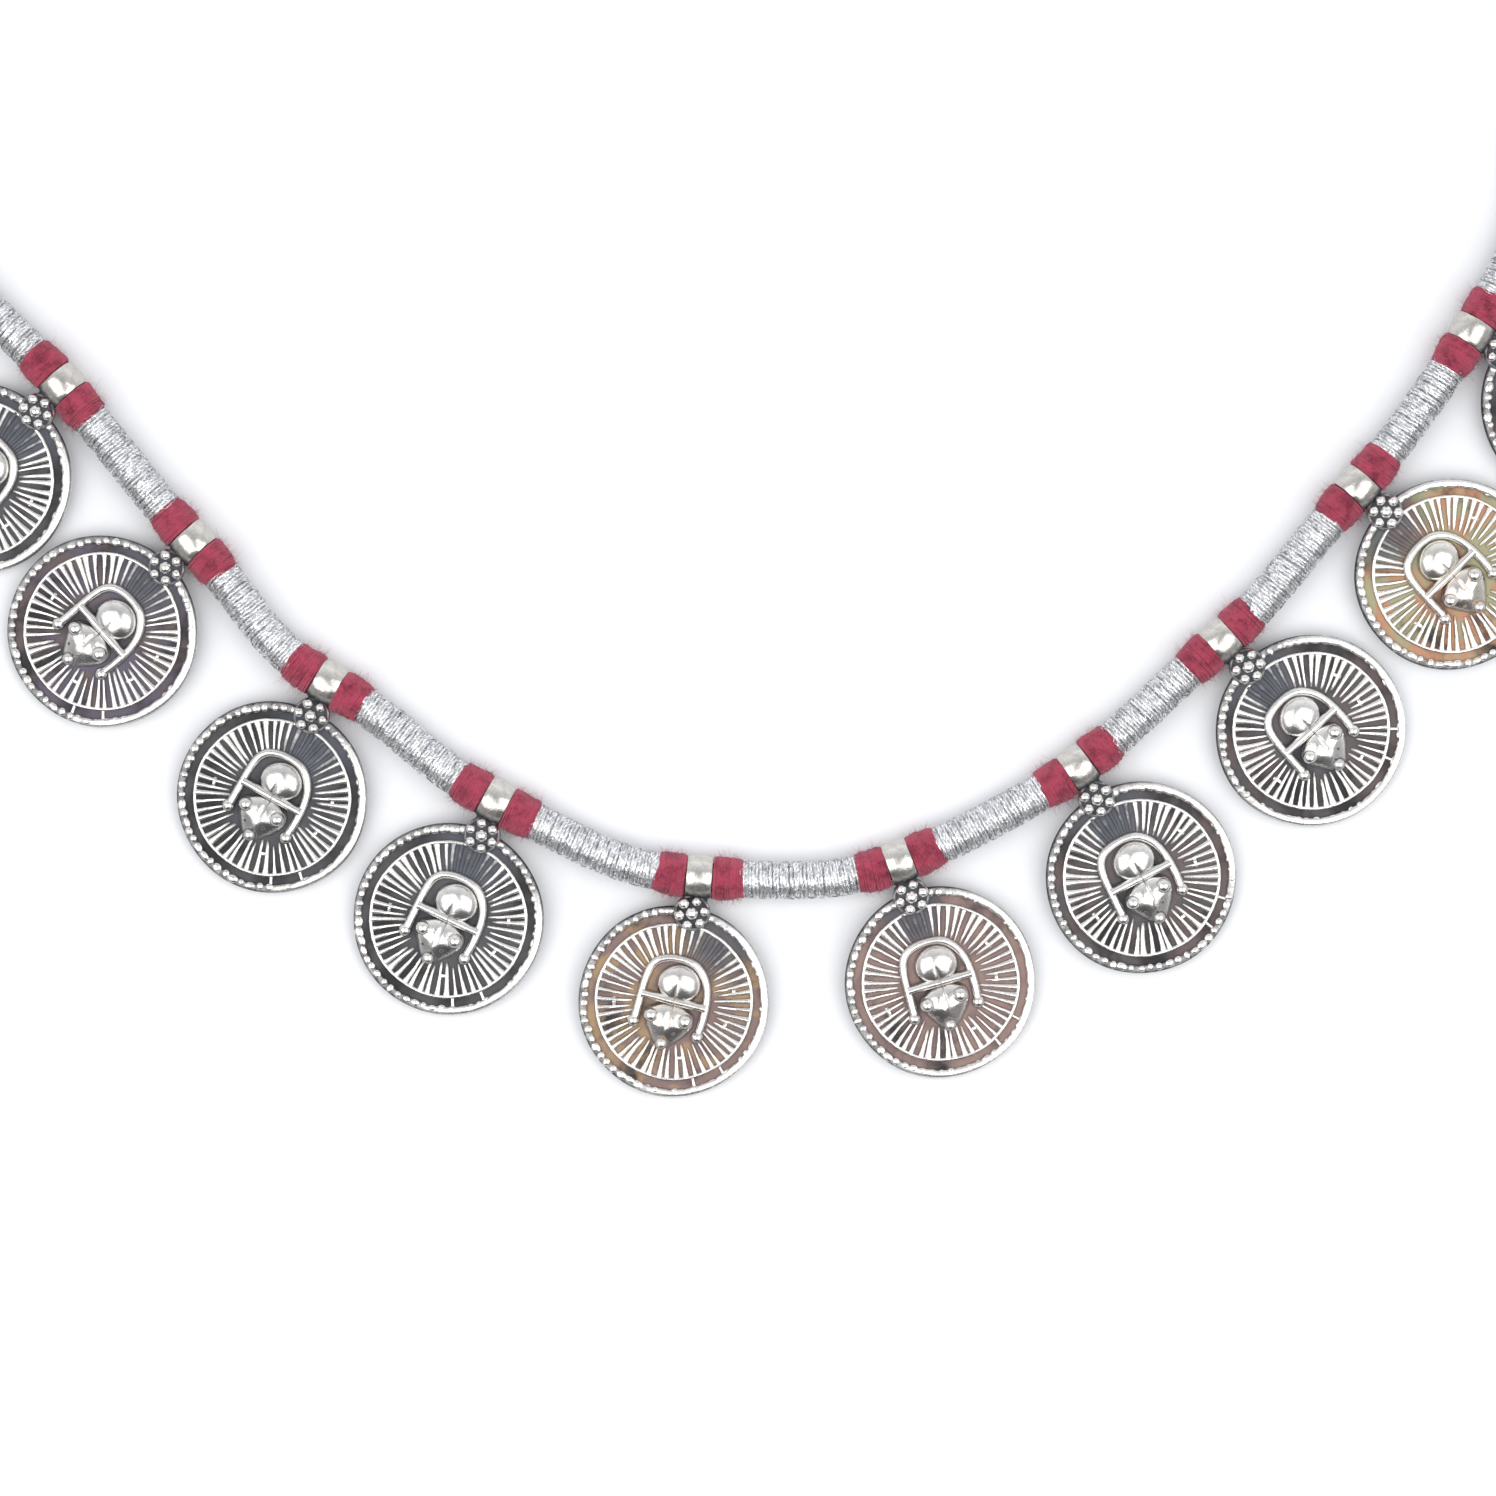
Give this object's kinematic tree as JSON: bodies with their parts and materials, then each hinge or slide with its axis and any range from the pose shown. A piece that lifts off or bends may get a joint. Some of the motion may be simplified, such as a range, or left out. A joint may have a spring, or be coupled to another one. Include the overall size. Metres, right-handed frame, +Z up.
{
  "type": "coin necklace",
  "caption": "Necklace of round cast silver coins with ray borders, hung by soldered bails from a silver-wound cord with crimson bindings, lying as a closed loop.",
  "frame": {"origin": "on the surface it lies on, under the middle of the whole necklace's box", "axes": "+X to the right across the loop, +Y from the coins toward the closing barrel at the back, +Z up"},
  "size_m": [0.2298, 0.1621, 0.0047],
  "materials": {
    "cast_silver": "cast silver, bright on the raised lines and blackened in the hollows",
    "silver_thread": "bright metallic thread wound close",
    "crimson_thread": "matte crimson thread, a little fuzzy",
    "core_cotton": "dark red cotton"
  },
  "bodies": {
    "root": {"back_wrap_a": "silver_thread", "back_wrap_b": "silver_thread", "binding_01_a": "crimson_thread", "binding_01_b": "crimson_thread", "binding_02_a": "crimson_thread", "binding_02_b": "crimson_thread", "binding_03_a": "crimson_thread", "binding_03_b": "crimson_thread", "binding_04_a": "crimson_thread", "binding_04_b": "crimson_thread", "binding_05_a": "crimson_thread", "binding_05_b": "crimson_thread", "binding_06_a": "crimson_thread", "binding_06_b": "crimson_thread", "binding_07_a": "crimson_thread", "binding_07_b": "crimson_thread", "binding_08_a": "crimson_thread", "binding_08_b": "crimson_thread", "binding_09_a": "crimson_thread", "binding_09_b": "crimson_thread", "binding_10_a": "crimson_thread", "binding_10_b": "crimson_thread", "binding_11_a": "crimson_thread", "binding_11_b": "crimson_thread", "binding_12_a": "crimson_thread", "binding_12_b": "crimson_thread", "binding_13_a": "crimson_thread", "binding_13_b": "crimson_thread", "binding_14_a": "crimson_thread", "binding_14_b": "crimson_thread", "clasp_barrel": "cast_silver", "coin_pendant_01": "cast_silver", "coin_pendant_02": "cast_silver", "coin_pendant_03": "cast_silver", "coin_pendant_04": "cast_silver", "coin_pendant_05": "cast_silver", "coin_pendant_06": "cast_silver", "coin_pendant_07": "cast_silver", "coin_pendant_08": "cast_silver", "coin_pendant_09": "cast_silver", "coin_pendant_10": "cast_silver", "coin_pendant_11": "cast_silver", "coin_pendant_12": "cast_silver", "coin_pendant_13": "cast_silver", "coin_pendant_14": "cast_silver", "core_cord": "core_cotton", "silver_wrap_01": "silver_thread", "silver_wrap_02": "silver_thread", "silver_wrap_03": "silver_thread", "silver_wrap_04": "silver_thread", "silver_wrap_05": "silver_thread", "silver_wrap_06": "silver_thread", "silver_wrap_07": "silver_thread", "silver_wrap_08": "silver_thread", "silver_wrap_09": "silver_thread", "silver_wrap_10": "silver_thread", "silver_wrap_11": "silver_thread", "silver_wrap_12": "silver_thread", "silver_wrap_13": "silver_thread"}
  },
  "joints": []
}
